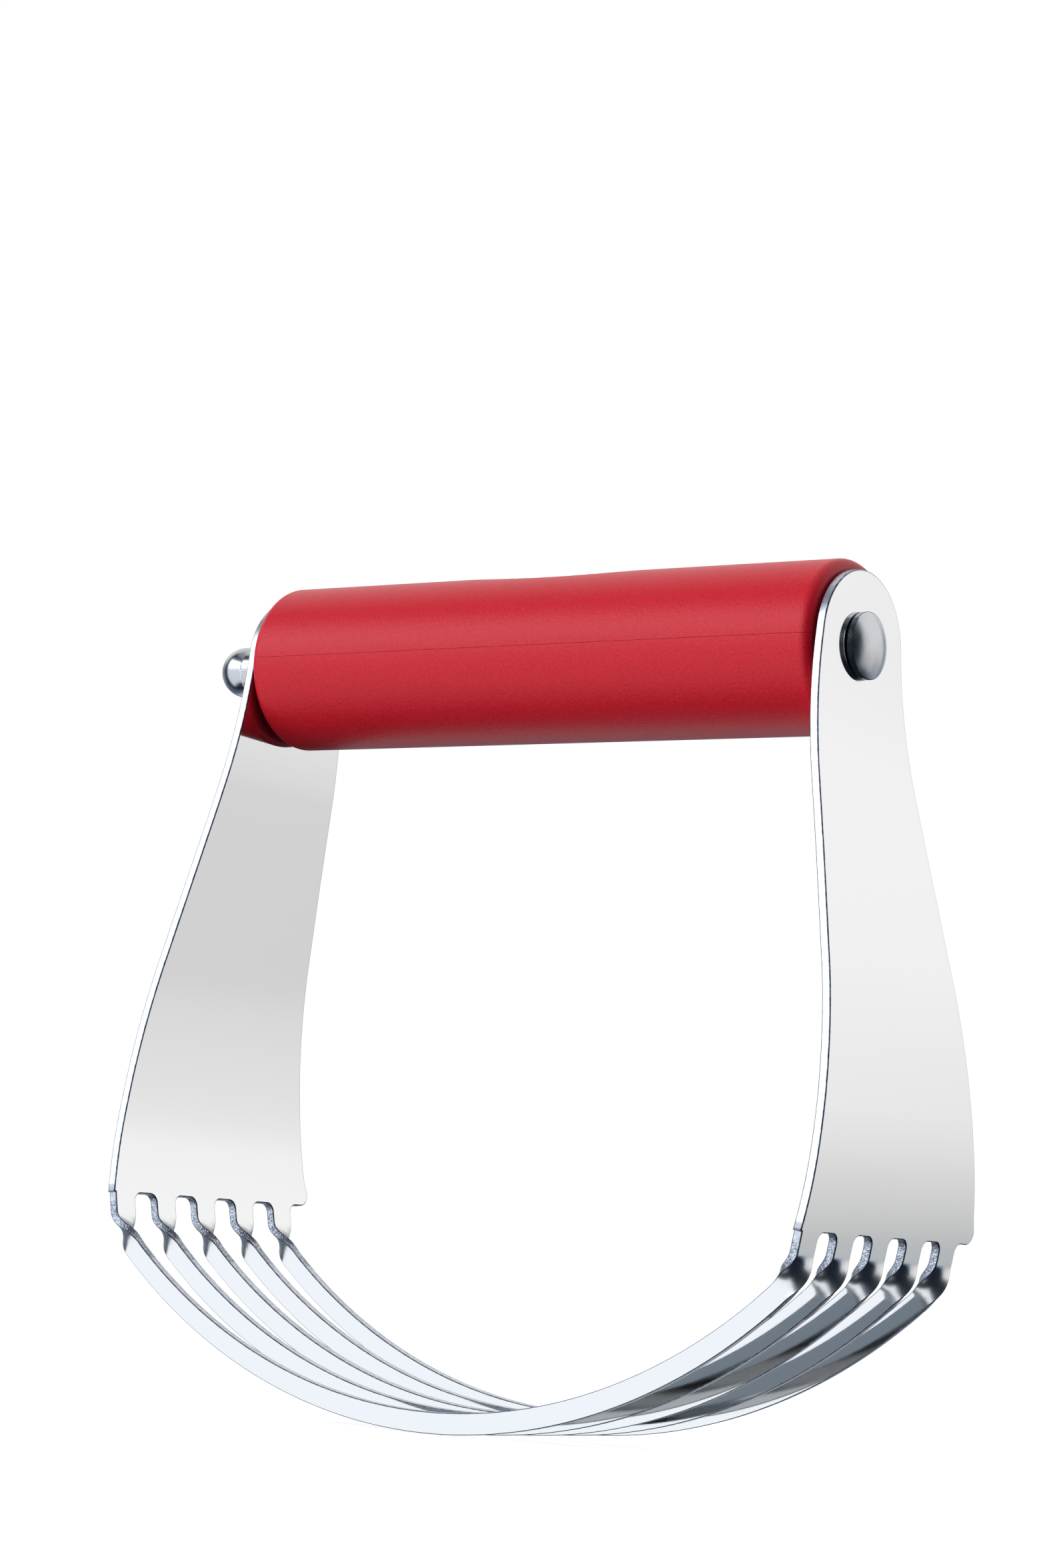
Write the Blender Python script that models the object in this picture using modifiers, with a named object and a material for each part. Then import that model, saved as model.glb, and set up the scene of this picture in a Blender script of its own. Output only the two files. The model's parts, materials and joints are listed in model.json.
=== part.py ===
"""Pastry blender: five curved blades on two bowed side plates, under a round handle.

The blade frame is one stamped sheet. It is laid out flat as a blank, bent along a path of
arcs, and its strips are twisted a quarter turn at both ends. The handle is two half shells
round a spacer tube, on a through bolt that an acorn nut closes.

Frame: X along the handle, -Y towards the front, Z up. The blades rest on z = 0.
"""

import math

import bmesh
import bpy
from mathutils import Vector

MM = 0.001

# ---- Driving dimensions -------------------------------------------------------------------
SHEET = 1.5 * MM  # sheet thickness
HEAD_FACE_X = 57.5 * MM  # outer face of a side plate at the bolt

BLADE_COUNT = 5
BLADE_PITCH = 10.48 * MM
BLADE_WIDTH = 3.6 * MM  # radial width of a blade
PRONG_WIDTH = 4.9 * MM  # width of a strip where it leaves the plate
FOOT_WIDTH = BLADE_COUNT * BLADE_PITCH  # side plate at its foot
PRONG_INSET = 0.4 * MM  # step between the plate's front edge and the first prong

# The sheet's middle line, from the lowest point of a blade up to the bolt: (radius, turn).
BLADE_ARC = (95.6 * MM, 41.0)
SHOULDER_BEND = (12.0 * MM, 38.0)
LOWER_BELLY = (83.0 * MM, 11.0)
UPPER_BELLY = (140.0 * MM, 12.0)
NECK_BEND = (105.0 * MM, -12.0)

SLOT_ABOVE_BEND = 3.0 * MM  # slot tops lie this far above the shoulder bend
SLOT_CORNER = 1.5 * MM
FOOT_CORNER = 2.0 * MM
HEAD_RADIUS = 12.1 * MM
FLANK_ANGLE = 6.5  # degrees, flare of the plate's edges where they leave the round head
TWIST_LENGTH = 7.0 * MM
TWIST_ABOVE_BLADE = 0.6 * MM  # the twist ends this far above the blade arc

HANDLE_RADIUS = 14.0 * MM
HANDLE_LENGTH = 111.4 * MM
HANDLE_EDGE = 1.8 * MM  # rounding of the handle's end edges
HANDLE_WALL = 2.5 * MM
END_WALL = 3.0 * MM
WEB = 2.0 * MM
WEB_X = 18.5 * MM
PANEL = (40.0 * MM, 11.0 * MM, 0.4 * MM)  # blank oval panel: length, width, depth
PANEL_CUTTER = 8.0 * MM  # height of the panel's cutter, half of it above the handle
PIN_X = 37.0 * MM
PIN_Y = 8.6 * MM
PIN_RADIUS = 1.4 * MM
PIN_HEIGHT = 3.0 * MM
BOSS_RADIUS = 2.4 * MM
BOSS_HEIGHT = 8.0 * MM

BOLT_RADIUS = 3.0 * MM
BOLT_HOLE = 3.3 * MM
BOLT_HEAD_RADIUS = 5.4 * MM
BOLT_HEAD_SKIRT = 1.25 * MM
BOLT_HEAD_DOME = 1.4 * MM
TUBE_RADIUS = 4.5 * MM
WASHER_RADIUS = 6.0 * MM
WASHER_THICKNESS = 1.5 * MM
NUT_FLATS = 10.0 * MM
NUT_HEX = 3.6 * MM  # height of the hexagon
NUT_HEIGHT = 12.4 * MM
NUT_DOME = 4.4 * MM  # radius of the ball-shaped dome
NUT_NECK = 4.0 * MM  # radius between the hexagon and the dome
NUT_CHAMFER = 0.8 * MM
THREAD_REACH = 8.0 * MM  # how far the bolt goes into the nut
THREAD_RUNOUT = 0.7 * MM  # depth of the nut's bore past the bolt's end
BOLT_TIP = 0.6 * MM  # chamfer on the bolt's end

FACE_GAP = 0.2 * MM  # between faces that touch on the real object
SEAM = 0.1 * MM  # between the two half shells
ROOT_GAP = 0.1 * MM  # between a plate's prong stub and its blade
RUNNING_GAP = 0.3 * MM  # radial, handle on spacer tube
CUT_PAST = 1.0 * MM  # how far a cutter stands clear of the face it opens

ROUND = 48  # sides of a turned shape
EDGE_STEPS = 14  # along a plate's flared edge
HEAD_STEPS = 28  # round a plate's head and its bolt hole
CORNER_STEPS = 4  # in a slot's corner
BLADE_STEPS = 15  # along half a blade's arc
TWIST_STEPS = 12  # through the shoulder bend, where the strip is twisted


# ---- The path that the sheet follows ------------------------------------------------------
def arc_step(x, z, heading, radius, turn):
    """End of an arc that starts at (x, z); headings and turns are in degrees."""
    side = math.copysign(1, turn)
    first, last = math.radians(heading), math.radians(heading + turn)
    x += side * radius * (math.sin(last) - math.sin(first))
    z += side * radius * (math.cos(first) - math.cos(last))
    return x, z, heading + turn


def sheet_path():
    """The path's segments, bottom to top: (length so far, x, z, heading, radius, turn)."""
    segments = []
    length, x, z, heading = 0.0, 0.0, BLADE_WIDTH / 2, 0.0
    for radius, turn in (BLADE_ARC, SHOULDER_BEND, LOWER_BELLY, UPPER_BELLY):
        segments.append((length, x, z, heading, radius, turn))
        length += radius * math.radians(abs(turn))
        x, z, heading = arc_step(x, z, heading, radius, turn)
    # The straight flank is as long as it takes for the neck bend to end at the head.
    neck_shift = NECK_BEND[0] * (1 - math.cos(math.radians(NECK_BEND[1])))
    lean = math.radians(heading - 90)
    flank = (x - neck_shift - (HEAD_FACE_X - SHEET / 2)) / math.sin(lean)
    segments.append((length, x, z, heading, None, flank))
    x, z, length = x - flank * math.sin(lean), z + flank * math.cos(lean), length + flank
    segments.append((length, x, z, heading, *NECK_BEND))
    length += NECK_BEND[0] * math.radians(abs(NECK_BEND[1]))
    x, z, heading = arc_step(x, z, heading, *NECK_BEND)
    segments.append((length, x, z, heading, None, HEAD_RADIUS))
    return segments


PATH = sheet_path()
BLADE_END, BEND_END, BELLY_MIDDLE, FLANK_START, NECK_START, BOLT_AT = (s[0] for s in PATH[1:])
AXIS_Z = PATH[-1][2]  # height of the bolt and of the handle's axis
SLOT_TOP = BEND_END + SLOT_ABOVE_BEND
NUT_MOUTH = HEAD_FACE_X + WASHER_THICKNESS + 3 * FACE_GAP  # distances from the middle plane
NUT_TIP = NUT_MOUTH + NUT_HEIGHT
BELLY_FACE = PATH[3][1] + SHEET / 2
CENTRE_SHIFT = (NUT_TIP - BELLY_FACE) / 2  # puts x = 0 midway along the overall length


def on_path(length):
    """Point and heading (radians) of the sheet's middle line at a length from the bottom."""
    start, x, z, heading, radius, turn = max(s for s in PATH if s[0] <= length + 1e-9)
    if radius is None:
        angle = math.radians(heading)
        run = length - start
        return x + run * math.cos(angle), z + run * math.sin(angle), angle
    part = math.copysign(math.degrees((length - start) / radius), turn)
    x, z, heading = arc_step(x, z, heading, radius, part)
    return x, z, math.radians(heading)


# ---- Helpers ------------------------------------------------------------------------------
def clear_scene():
    for obj in list(bpy.data.objects):
        bpy.data.objects.remove(obj, do_unlink=True)


def new_collection(name):
    collection = bpy.data.collections.new(name)
    bpy.context.scene.collection.children.link(collection)
    return collection


def make_material(name, colour, metallic, roughness):
    material = bpy.data.materials.new(name)
    material.use_nodes = True
    shader = material.node_tree.nodes["Principled BSDF"]
    shader.inputs["Base Color"].default_value = (*colour, 1.0)
    shader.inputs["Metallic"].default_value = metallic
    shader.inputs["Roughness"].default_value = roughness
    return material


def object_of(name, bm, collection, material=None, smooth_under=35.0):
    """A new object from a bmesh, which it frees."""
    bmesh.ops.recalc_face_normals(bm, faces=bm.faces)
    if bm.calc_volume(signed=True) < 0:
        bmesh.ops.reverse_faces(bm, faces=bm.faces)
    mesh = bpy.data.meshes.new(name)
    bm.to_mesh(mesh)
    bm.free()
    if material:
        mesh.materials.append(material)
    mesh.shade_smooth()
    mesh.set_sharp_from_angle(angle=math.radians(smooth_under))
    obj = bpy.data.objects.new(name, mesh)
    collection.objects.link(obj)
    return obj


def turned(name, profile, collection, material=None, closed=False, steps=ROUND):
    """A profile of (radius, height) points turned about Z by a Screw, then laid along X.

    Height runs towards +X. A profile runs down its outer side, from the top.
    """
    bm = bmesh.new()
    points = [bm.verts.new((radius, 0, height)) for radius, height in profile]
    for first, last in zip(points, points[1:]):
        bm.edges.new((first, last))
    if closed:
        bm.edges.new((points[-1], points[0]))
    obj = object_of(name, bm, collection, material)
    screw = obj.modifiers.new("turn", "SCREW")
    screw.steps = screw.render_steps = steps
    screw.use_merge_vertices = True
    screw.merge_threshold = 1e-6
    obj.rotation_euler = (0, math.radians(90), 0)
    obj.location = (0, 0, AXIS_Z)
    return obj


def arc_points(centre, radius, first, last, steps):
    """Points on an arc in a plane; angles in degrees."""
    angles = [math.radians(first + (last - first) * i / steps) for i in range(steps + 1)]
    return [(centre[0] + radius * math.cos(a), centre[1] + radius * math.sin(a)) for a in angles]


def flat_mesh(outlines, thickness):
    """A bmesh of a flat plate in XY: closed outlines, the inner ones as holes."""
    curve = bpy.data.curves.new("outline", "CURVE")
    curve.dimensions = "2D"
    curve.fill_mode = "BOTH"
    curve.extrude = thickness / 2
    for outline in outlines:
        spline = curve.splines.new("POLY")
        spline.points.add(len(outline) - 1)
        for point, (x, y) in zip(spline.points, outline):
            point.co = (x, y, 0, 1)
        spline.use_cyclic_u = True
    guide = bpy.data.objects.new("outline", curve)
    bpy.context.scene.collection.objects.link(guide)
    graph = bpy.context.evaluated_depsgraph_get()
    mesh = bpy.data.meshes.new_from_object(guide.evaluated_get(graph))
    bm = bmesh.new()
    bm.from_mesh(mesh)
    bmesh.ops.remove_doubles(bm, verts=bm.verts, dist=1e-6)
    bpy.data.objects.remove(guide, do_unlink=True)
    bpy.data.curves.remove(curve)
    bpy.data.meshes.remove(mesh)
    return bm


def add_boolean(obj, other, operation):
    modifier = obj.modifiers.new(f"{operation.lower()} {other.name}", "BOOLEAN")
    modifier.operation = operation
    modifier.object = other


def hide_cutter(obj):
    obj.hide_render = True
    obj.display_type = "WIRE"
    return obj


def box(name, low, high, collection):
    bm = bmesh.new()
    bmesh.ops.create_cube(bm, size=1)
    low, high = Vector(low), Vector(high)
    for vert in bm.verts:
        vert.co = (low + high) / 2 + Vector(a * b for a, b in zip(vert.co, high - low))
    return hide_cutter(object_of(name, bm, collection))


def upright_post(name, x, y, radius, low, high, collection, steps=20):
    """A vertical cylinder between two heights above the handle's axis."""
    bm = bmesh.new()
    bmesh.ops.create_cone(
        bm, cap_ends=True, segments=steps, radius1=radius, radius2=radius, depth=high - low
    )
    obj = hide_cutter(object_of(name, bm, collection))
    obj.location = (x, y, AXIS_Z + (low + high) / 2)
    return obj


# ---- Blade frame --------------------------------------------------------------------------
def half_width(length):
    """Half the side plate's width at a length along the path: round head, flared flanks."""
    below = BOLT_AT - length
    flare = math.radians(FLANK_ANGLE)
    start = -HEAD_RADIUS * math.sin(flare)
    start_width = HEAD_RADIUS * math.cos(flare)
    run = below - start
    foot_run = BOLT_AT - SLOT_TOP - start
    gain = FOOT_WIDTH / 2 - start_width - math.tan(flare) * foot_run
    return start_width + math.tan(flare) * run + gain * (run / foot_run) ** 2


def blade_y(index):
    first = -FOOT_WIDTH / 2 + PRONG_INSET + PRONG_WIDTH / 2
    return first + index * BLADE_PITCH


def prong_outline():
    """The comb of prong stubs from front to back, with the round corners of the slots."""
    low = BEND_END + ROOT_GAP
    points = [(-FOOT_WIDTH / 2, SLOT_TOP), (blade_y(0) - PRONG_WIDTH / 2, SLOT_TOP)]
    for index in range(BLADE_COUNT):
        front, back = (blade_y(index) + side * PRONG_WIDTH / 2 for side in (-1, 1))
        if index:
            centre = (front - SLOT_CORNER, SLOT_TOP - SLOT_CORNER)
            points += arc_points(centre, SLOT_CORNER, 90, 0, CORNER_STEPS)
        points += [(front, low), (back, low)]
        centre = (back + SLOT_CORNER, SLOT_TOP - SLOT_CORNER)
        points += arc_points(centre, SLOT_CORNER, 180, 90, CORNER_STEPS)
    corner = (FOOT_WIDTH / 2 - FOOT_CORNER, SLOT_TOP + FOOT_CORNER)
    return points + arc_points(corner, FOOT_CORNER, -90, 0, CORNER_STEPS + 1)


def blank_outline():
    """The side plate laid flat, as (y, length along the path)."""
    flare = FLANK_ANGLE
    low, high = SLOT_TOP + FOOT_CORNER, BOLT_AT + HEAD_RADIUS * math.sin(math.radians(flare))
    levels = [low + (high - low) * i / EDGE_STEPS for i in range(1, EDGE_STEPS)]
    back = [(half_width(level), level) for level in levels]
    front = [(-half_width(level), level) for level in reversed(levels)]
    head = arc_points((0, BOLT_AT), HEAD_RADIUS, flare, 180 - flare, HEAD_STEPS)
    return prong_outline() + back + head + front


def bend_stations():
    """Lengths at which the flat blank gets a bend line."""
    stations = []
    curved = ((BEND_END, BELLY_MIDDLE, 5), (BELLY_MIDDLE, FLANK_START, 7), (NECK_START, BOLT_AT, 5))
    for start, end, count in curved:
        stations += [start + (end - start) * i / count for i in range(count + 1)]
    return sorted(set(stations))[1:]


def side_plate(name, side, collection, material):
    hole = arc_points((0, BOLT_AT), BOLT_HOLE, 0, 360 - 360 / HEAD_STEPS, HEAD_STEPS - 1)
    bm = flat_mesh([blank_outline(), hole], SHEET)
    for length in bend_stations():
        geometry = bm.verts[:] + bm.edges[:] + bm.faces[:]
        bmesh.ops.bisect_plane(
            bm, geom=geometry, dist=1e-7, plane_co=(0, length, 0), plane_no=(0, 1, 0)
        )
    for vert in bm.verts:
        y, length, offset = vert.co
        x, z, heading = on_path(length)
        x, z = x + offset * math.sin(heading), z - offset * math.cos(heading)
        vert.co = (side * x, y, z)
    return object_of(name, bm, collection, material)


def blade_sections():
    """Lengths along one half of a blade, from beside its lowest point to its root.

    The first length is half a step, so the blade's lowest facet lies level.
    """
    lengths = [BLADE_END * (i + 0.5) / BLADE_STEPS for i in range(BLADE_STEPS)]
    bend = BEND_END - BLADE_END
    return lengths + [BLADE_END + bend * i / TWIST_STEPS for i in range(TWIST_STEPS + 1)]


def twist_share(length):
    """0 where the strip lies as in the plate, 1 where it stands on edge as a blade."""
    start = BLADE_END + TWIST_ABOVE_BLADE
    share = min(max((start + TWIST_LENGTH - length) / TWIST_LENGTH, 0.0), 1.0)
    return share * share * (3 - 2 * share)


def blade(name, y, collection, material):
    """A strip from one side plate to the other, lofted through its twisted sections."""
    half = blade_sections()
    bm = bmesh.new()
    rings = []
    for signed in [-length for length in reversed(half)] + half:
        side = math.copysign(1, signed)
        x, z, heading = on_path(abs(signed))
        share = twist_share(abs(signed))
        angle = math.radians(90) * share
        width = PRONG_WIDTH + (BLADE_WIDTH - PRONG_WIDTH) * share
        outward = Vector((side * math.sin(heading), 0, -math.cos(heading)))
        across = Vector((0, 1, 0))
        face = math.cos(angle) * outward - math.sin(angle) * across
        edge = math.sin(angle) * outward + math.cos(angle) * across
        centre = Vector((side * x, y, z))
        corners = ((-1, -1), (1, -1), (1, 1), (-1, 1))
        rings.append(
            [bm.verts.new(centre + a * SHEET / 2 * face + b * width / 2 * edge) for a, b in corners]
        )
    for ring, following in zip(rings, rings[1:]):
        for i in range(4):
            j = (i + 1) % 4
            bm.faces.new((ring[i], ring[j], following[j], following[i]))
    bm.faces.new(rings[0])
    bm.faces.new(rings[-1])
    return object_of(name, bm, collection, material)


# ---- Handle -------------------------------------------------------------------------------
def handle_profile():
    """Closed section of the hollow handle, turned whole before it is halved."""
    half = HANDLE_LENGTH / 2
    bore = TUBE_RADIUS + RUNNING_GAP
    inner = HANDLE_RADIUS - HANDLE_WALL
    corner = (HANDLE_RADIUS - HANDLE_EDGE, half - HANDLE_EDGE)
    upper = arc_points(corner, HANDLE_EDGE, 90, 0, 5)
    lower = [(radius, -height) for radius, height in reversed(upper)]
    outside = [(bore, half), *upper, *lower, (bore, -half)]
    inside = [(bore, -half + END_WALL), (inner, -half + END_WALL)]
    for web in (-WEB_X, WEB_X):
        inside += [(inner, web - WEB / 2), (bore, web - WEB / 2)]
        inside += [(bore, web + WEB / 2), (inner, web + WEB / 2)]
    return outside + inside + [(inner, half - END_WALL), (bore, half - END_WALL)]


def panel_cutter(cutters):
    """An oval prism without the round core that is the panel's floor."""
    length, width, depth = PANEL
    oval = [
        (length / 2 * math.cos(a), width / 2 * math.sin(a))
        for a in (2 * math.pi * i / ROUND for i in range(ROUND))
    ]
    cutter = hide_cutter(object_of("panel_cutter", flat_mesh([oval], PANEL_CUTTER), cutters))
    cutter.location = (0, 0, AXIS_Z + HANDLE_RADIUS)
    floor = HANDLE_RADIUS - depth
    profile = [(0, length), (floor, length), (floor, -length), (0, -length)]
    core = turned("panel_floor", profile, cutters, steps=2 * ROUND)
    add_boolean(cutter, hide_cutter(core), "DIFFERENCE")
    return cutter


def pin_places():
    return [(x, y) for x in (-PIN_X, PIN_X) for y in (-PIN_Y, PIN_Y)]


def handle_shell(name, side, collection, cutters, material):
    """One half of the handle: side is 1 for the upper shell, -1 for the lower."""
    shell = turned(name, handle_profile(), collection, material, closed=True)
    near, far = side * SEAM / 2, side * 2 * HANDLE_RADIUS
    low, high = sorted((AXIS_Z + near, AXIS_Z + far))
    reach = HANDLE_LENGTH
    half_space = box(f"{name}_half", (-reach, -reach, low), (reach, reach, high), cutters)
    add_boolean(shell, half_space, "INTERSECT")
    for number, (x, y) in enumerate(pin_places()):
        low, high = sorted((near, side * BOSS_HEIGHT))
        boss = upright_post(f"{name}_boss_{number}", x, y, BOSS_RADIUS, low, high, cutters)
        add_boolean(shell, boss, "UNION")
    return shell


def add_pins(shell, cutters):
    for number, (x, y) in enumerate(pin_places()):
        pin = upright_post(f"pin_{number}", x, y, PIN_RADIUS, -BOSS_HEIGHT / 2, PIN_HEIGHT, cutters)
        add_boolean(shell, pin, "UNION")


def cut_sockets(shell, cutters):
    for number, (x, y) in enumerate(pin_places()):
        depth = PIN_HEIGHT + 2 * RUNNING_GAP
        radius = PIN_RADIUS + RUNNING_GAP
        socket = upright_post(f"socket_{number}", x, y, radius, -CUT_PAST, depth, cutters)
        add_boolean(shell, socket, "DIFFERENCE")


# ---- Fasteners ----------------------------------------------------------------------------
def dome_profile(radius, base, height, steps=8):
    """Points of a spherical dome, from the axis down to its rim at a base height."""
    sphere = (radius * radius + height * height) / (2 * height)
    reach = math.asin(min(radius / sphere, 1.0))
    angles = [reach * i / steps for i in range(steps + 1)]
    centre = base + height - sphere
    return [(sphere * math.sin(a), centre + sphere * math.cos(a)) for a in angles]


def through_bolt(collection, material):
    """Low mushroom head against the right plate; the shank runs left into the nut."""
    under = HEAD_FACE_X + FACE_GAP
    rim = under + BOLT_HEAD_SKIRT
    tip = -(NUT_MOUTH + THREAD_REACH)
    profile = dome_profile(BOLT_HEAD_RADIUS, rim, BOLT_HEAD_DOME)
    profile += [(BOLT_HEAD_RADIUS, under), (BOLT_RADIUS, under)]
    profile += [(BOLT_RADIUS, tip + BOLT_TIP), (BOLT_RADIUS - BOLT_TIP, tip), (0, tip)]
    return turned("through_bolt", profile, collection, material)


def ring(name, inner, outer, low, high, collection, material):
    profile = [(inner, high), (outer, high), (outer, low), (inner, low)]
    return turned(name, profile, collection, material, closed=True)


def acorn_nut(collection, cutters, material):
    """Chamfered hexagon and hollow dome; its mouth faces the left plate."""
    mouth = -NUT_MOUTH
    corner = NUT_FLATS / math.sqrt(3)
    bm = bmesh.new()
    bmesh.ops.create_cone(
        bm, cap_ends=True, segments=6, radius1=corner, radius2=corner, depth=NUT_HEX
    )
    nut = object_of("acorn_nut", bm, collection, material)
    nut.rotation_euler = (0, math.radians(90), 0)
    nut.location = (mouth - NUT_HEX / 2, 0, AXIS_Z)
    shoulder = mouth - NUT_HEX
    break_edge = NUT_CHAMFER / 3  # the mouth's edge is only broken
    bevel = [(0, mouth), (corner - break_edge, mouth), (corner, mouth - break_edge)]
    bevel += [(corner, shoulder + NUT_CHAMFER), (corner - NUT_CHAMFER, shoulder), (0, shoulder)]
    add_boolean(nut, hide_cutter(turned("nut_chamfer", bevel, cutters)), "INTERSECT")
    centre = mouth - NUT_HEIGHT + NUT_DOME
    past = math.degrees(math.acos(NUT_NECK / NUT_DOME))  # the ball narrows again to the neck
    ball = arc_points((0, centre), NUT_DOME, past, -90, 14)
    dome = [(0, mouth - NUT_HEX / 2), (NUT_NECK, mouth - NUT_HEX / 2), *ball[:-1]]
    dome.append((0, centre - NUT_DOME))
    add_boolean(nut, hide_cutter(turned("nut_dome", dome, cutters)), "UNION")
    top, bottom = mouth + CUT_PAST, mouth - THREAD_REACH - THREAD_RUNOUT
    thread = [(0, top), (BOLT_HOLE, top), (BOLT_HOLE, bottom), (0, bottom)]
    add_boolean(nut, hide_cutter(turned("nut_thread", thread, cutters)), "DIFFERENCE")
    return nut


# ---- Build --------------------------------------------------------------------------------
def build():
    clear_scene()
    parts = new_collection("pastry_blender")
    cutters = new_collection("cutters")
    cutters.hide_render = True
    steel = make_material("polished_stainless", (0.82, 0.83, 0.84), 1.0, 0.08)
    plated = make_material("plated_steel", (0.62, 0.64, 0.67), 1.0, 0.16)
    tube = make_material("plain_steel", (0.50, 0.50, 0.51), 1.0, 0.35)
    plastic = make_material("red_plastic", (0.52, 0.013, 0.022), 0.0, 0.42)

    side_plate("left_side_plate", -1, parts, steel)
    side_plate("right_side_plate", 1, parts, steel)
    for index in range(BLADE_COUNT):
        blade(f"blade_{index + 1}", blade_y(index), parts, steel)

    upper = handle_shell("handle_upper_shell", 1, parts, cutters, plastic)
    cut_sockets(upper, cutters)
    add_boolean(upper, panel_cutter(cutters), "DIFFERENCE")
    lower = handle_shell("handle_lower_shell", -1, parts, cutters, plastic)
    add_pins(lower, cutters)

    through_bolt(parts, plated)
    tube_end = HEAD_FACE_X - SHEET - FACE_GAP
    ring("spacer_tube", BOLT_HOLE, TUBE_RADIUS, -tube_end, tube_end, parts, tube)
    washer_face = -(HEAD_FACE_X + FACE_GAP)
    washer_back = washer_face - WASHER_THICKNESS
    ring("flat_washer", BOLT_HOLE, WASHER_RADIUS, washer_back, washer_face, parts, plated)
    acorn_nut(parts, cutters, plated)

    for obj in [*parts.objects, *cutters.objects]:
        obj.location.x += CENTRE_SHIFT


build()
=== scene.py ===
"""Looks of the pastry blender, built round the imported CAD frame. Metres, Z up, -Y to the front."""

import json
import math

import bmesh
import bpy
import numpy as np
from mathutils import Matrix, Vector


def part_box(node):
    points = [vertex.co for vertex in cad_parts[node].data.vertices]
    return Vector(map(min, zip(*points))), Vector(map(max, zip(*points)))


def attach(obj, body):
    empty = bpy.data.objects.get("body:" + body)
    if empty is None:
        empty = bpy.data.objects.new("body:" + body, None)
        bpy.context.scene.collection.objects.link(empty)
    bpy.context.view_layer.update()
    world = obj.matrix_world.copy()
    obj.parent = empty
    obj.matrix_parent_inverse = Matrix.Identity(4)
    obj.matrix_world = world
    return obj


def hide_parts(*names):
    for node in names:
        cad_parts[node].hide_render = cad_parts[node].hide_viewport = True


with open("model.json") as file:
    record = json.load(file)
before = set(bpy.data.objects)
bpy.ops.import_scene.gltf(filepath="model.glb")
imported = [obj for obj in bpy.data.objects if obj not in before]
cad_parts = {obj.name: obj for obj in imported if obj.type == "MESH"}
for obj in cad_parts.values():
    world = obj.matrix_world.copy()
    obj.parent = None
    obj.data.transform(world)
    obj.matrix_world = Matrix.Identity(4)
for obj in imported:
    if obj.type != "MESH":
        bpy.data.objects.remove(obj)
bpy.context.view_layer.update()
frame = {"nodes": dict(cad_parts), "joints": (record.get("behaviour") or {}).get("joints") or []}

MM = 0.001

# ---- Places and sizes from the CAD --------------------------------------------------------
MIDDLE_X, _, AXIS_Z = frame["joints"][0]["pos_m"]
BOLT_HEAD_REACH = 2.85 * MM  # from a plate's outer face at the bolt to the head's top


def size_of(node):
    """A node's size along each axis."""
    low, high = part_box(node)
    return high - low


FOOT_WIDTH = size_of("left_side_plate").y
HEAD_FACE_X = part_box("through_bolt")[1].x - MIDDLE_X - BOLT_HEAD_REACH
HANDLE_LENGTH = size_of("handle_upper_shell").x
HANDLE_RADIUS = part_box("handle_upper_shell")[1].z - AXIS_Z

# ---- The sheet, as in the CAD source ------------------------------------------------------
SHEET = 1.5 * MM
BLADE_COUNT = 5
BLADE_PITCH = FOOT_WIDTH / BLADE_COUNT
BLADE_WIDTH = 3.6 * MM
PRONG_WIDTH = 4.9 * MM  # width of a strip where it leaves the plate
PRONG_INSET = 0.4 * MM  # step between the plate's front edge and the first prong
# The path from a blade's lowest point up to the bolt, as arcs of (radius, turn in degrees).
BLADE_ARC = (95.6 * MM, 41.0)
SHOULDER_BEND = (12.0 * MM, 38.0)
LOWER_BELLY = (83.0 * MM, 11.0)
UPPER_BELLY = (140.0 * MM, 12.0)
NECK_BEND = (105.0 * MM, -12.0)
SLOT_ABOVE_BEND = 3.0 * MM
SLOT_CORNER = 1.5 * MM
FOOT_CORNER = 2.0 * MM
HEAD_RADIUS = 12.1 * MM
FLANK_ANGLE = 6.5  # degrees, flare of the plate's edges below the round head
TWIST_LENGTH = 7.0 * MM
TWIST_ABOVE_BLADE = 0.6 * MM
BOLT_HOLE = 3.3 * MM

# ---- The sheet, finer than in the CAD -----------------------------------------------------
TWISTS = (87.0, 85.5, 83.0, 85.5, 83.0)  # degrees; each strip springs back a little
TILT_TRIM = 0.18 * MM  # keeps a tilted blade's lower corner off the ground
EDGE_ROUND = 0.2 * MM  # rounding of the sheet's sheared edges after polishing
RAW_REACH = 3.0 * MM  # how far past the twist a strip's edges were left as sheared
WELD = 0.02 * MM  # points of the fill that lie closer than this are one
ROUND_STEPS = 3  # across the rounding of an edge
FLANK_STEPS = 40  # along a plate's flared edge
SLOT_STEPS = 8  # in a slot's corner
FOOT_STEPS = 10  # in a foot's corner
HEAD_STEPS = 72  # round a plate's head
HOLE_STEPS = 48  # round a bolt hole
# How far apart the fill is cut so that it can bend.
BLADE_SPACING = 1.6 * MM
TWIST_SPACING = 0.25 * MM
BEND_SPACING = 1.5 * MM
FLAT_SPACING = 6.0 * MM


def arc_step(x, z, heading, radius, turn):
    """End of an arc that starts at (x, z); headings and turns are in degrees."""
    side = math.copysign(1, turn)
    first, last = math.radians(heading), math.radians(heading + turn)
    x += side * radius * (math.sin(last) - math.sin(first))
    z += side * radius * (math.cos(first) - math.cos(last))
    return x, z, heading + turn


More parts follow.
